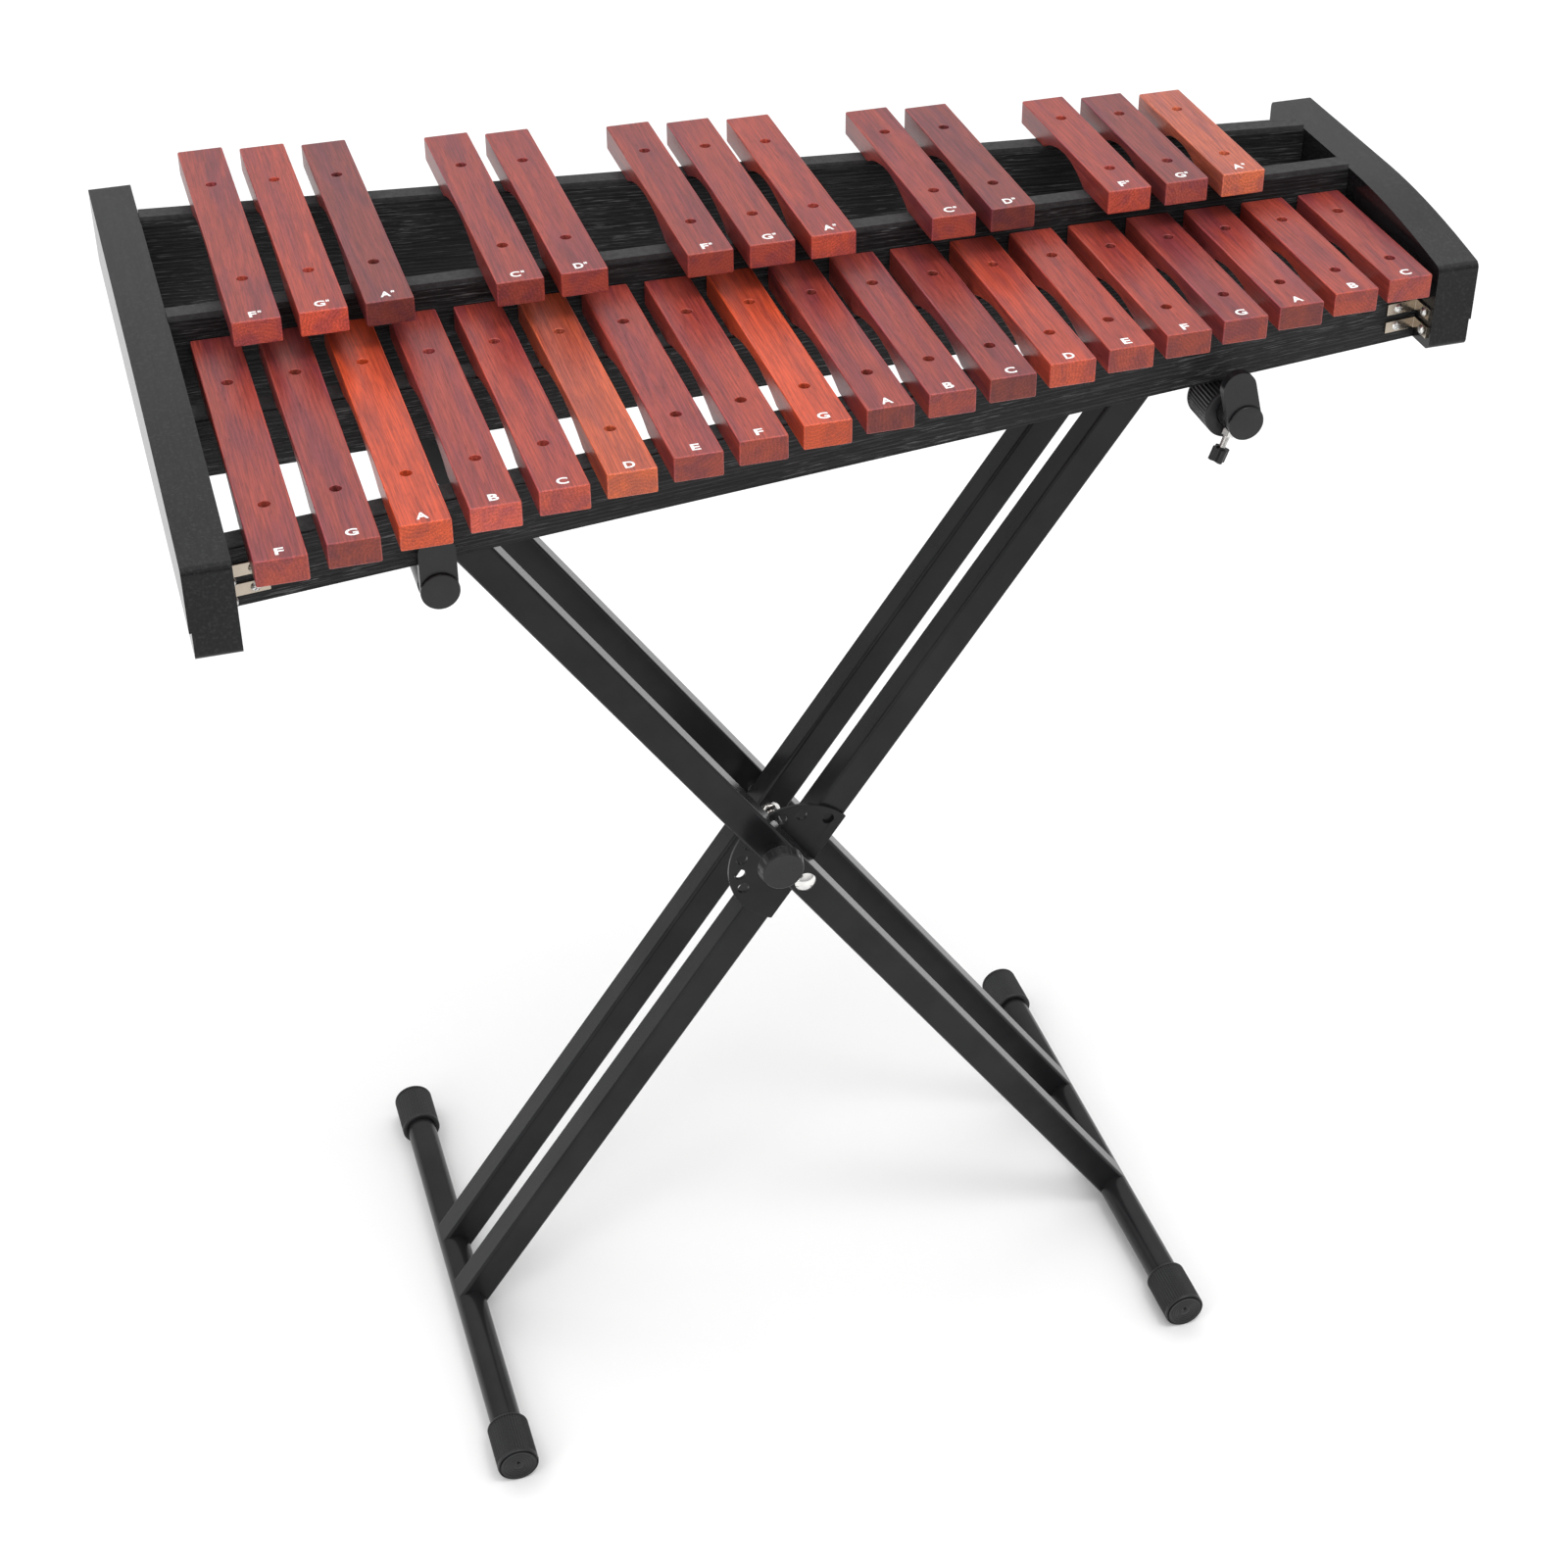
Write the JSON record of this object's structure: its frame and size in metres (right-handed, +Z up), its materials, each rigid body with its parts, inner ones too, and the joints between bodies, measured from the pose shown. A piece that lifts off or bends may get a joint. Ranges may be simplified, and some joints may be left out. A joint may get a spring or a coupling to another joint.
{
  "type": "xylophone",
  "caption": "Tapered two-row wooden-bar xylophone resting on a folding X-stand with a pull-knob lock, sliding stops and rubber feet.",
  "frame": {"origin": "on the floor, under the middle of the instrument's length and depth", "axes": "+X along the instrument towards the high notes, -Y towards the player, +Z up"},
  "size_m": [0.903, 0.525, 0.9335],
  "materials": {
    "bar_wood": "satin oiled, fine straight grain",
    "black_wood": "black stain over open grain",
    "felt": "felt",
    "bright_steel": "bright zinc",
    "chrome": "polished",
    "black_paint": "satin black powder coat",
    "rubber": "matt, ribbed",
    "black_plastic": "matt moulded"
  },
  "bodies": {
    "outer_frame": {"outer_arms": "black_paint", "outer_crossbars": "black_paint", "outer_rubber_sleeves": "rubber", "pivot_bolt": "chrome", "lock_barrel": "black_paint"},
    "inner_frame": {"inner_arms": "black_paint", "inner_crossbars": "black_paint", "inner_rubber_sleeves": "rubber", "lock_disc": "black_paint"},
    "xylophone": {"natural_bar_01": "bar_wood", "natural_bar_02": "bar_wood", "natural_bar_03": "bar_wood", "natural_bar_04": "bar_wood", "natural_bar_05": "bar_wood", "natural_bar_06": "bar_wood", "natural_bar_07": "bar_wood", "natural_bar_08": "bar_wood", "natural_bar_09": "bar_wood", "natural_bar_10": "bar_wood", "natural_bar_11": "bar_wood", "natural_bar_12": "bar_wood", "natural_bar_13": "bar_wood", "natural_bar_14": "bar_wood", "natural_bar_15": "bar_wood", "natural_bar_16": "bar_wood", "natural_bar_17": "bar_wood", "natural_bar_18": "bar_wood", "natural_bar_19": "bar_wood", "sharp_bar_01": "bar_wood", "sharp_bar_02": "bar_wood", "sharp_bar_03": "bar_wood", "sharp_bar_04": "bar_wood", "sharp_bar_05": "bar_wood", "sharp_bar_06": "bar_wood", "sharp_bar_07": "bar_wood", "sharp_bar_08": "bar_wood", "sharp_bar_09": "bar_wood", "sharp_bar_10": "bar_wood", "sharp_bar_11": "bar_wood", "sharp_bar_12": "bar_wood", "sharp_bar_13": "bar_wood", "left_end_board": "black_wood", "right_end_board": "black_wood", "natural_front_rail": "black_wood", "natural_rear_rail": "black_wood", "sharp_front_rail": "black_wood", "sharp_rear_rail": "black_wood", "felt_strips": "felt", "bar_pins": "bright_steel", "pin_sleeves": "rubber", "corner_brackets": "bright_steel", "bracket_screws": "bright_steel"},
    "lock_pull": {"lock_plunger": "bright_steel", "lock_knob": "black_plastic"},
    "left_stop": {"left_stop_rod": "black_paint", "left_stop_pad": "rubber"},
    "right_stop": {"right_stop_rod": "black_paint", "right_stop_pad": "rubber"},
    "left_thumb": {"left_thumb_screw": "bright_steel"},
    "right_thumb": {"right_thumb_screw": "bright_steel"}
  },
  "joints": [
    {"name": "fold", "type": "hinge", "parent": "outer_frame", "child": "inner_frame", "pos_m": [-0.0105, 0.0205, 0.41812], "axis": [0, -1, 0], "range_deg": [0, 60]},
    {"name": "lift_off", "type": "slide", "parent": "outer_frame", "child": "xylophone", "axis": [0, 0, 1], "range_m": [0, 0.32]},
    {"name": "knob_pull", "type": "slide", "parent": "outer_frame", "child": "lock_pull", "axis": [0, -1, 0], "range_m": [0, 0.008], "stiffness_N_per_m": 800},
    {"name": "left_stop_slide", "type": "slide", "parent": "outer_frame", "child": "left_stop", "axis": [0, -1, 0], "range_m": [0, 0.06]},
    {"name": "right_stop_slide", "type": "slide", "parent": "inner_frame", "child": "right_stop", "axis": [0, -1, 0], "range_m": [0, 0.06]},
    {"name": "left_thumb_turn", "type": "hinge", "parent": "outer_frame", "child": "left_thumb", "pos_m": [-0.29312, -0.148, 0.82024], "axis": [1, 0, 0], "continuous": true},
    {"name": "right_thumb_turn", "type": "hinge", "parent": "inner_frame", "child": "right_thumb", "pos_m": [0.27211, -0.1365, 0.82024], "axis": [-0.342, 0, -0.9397], "continuous": true}
  ],
  "couplings": [
    {"joint": "lift_off", "follows": "fold", "m_per_rad": 0.3}
  ]
}
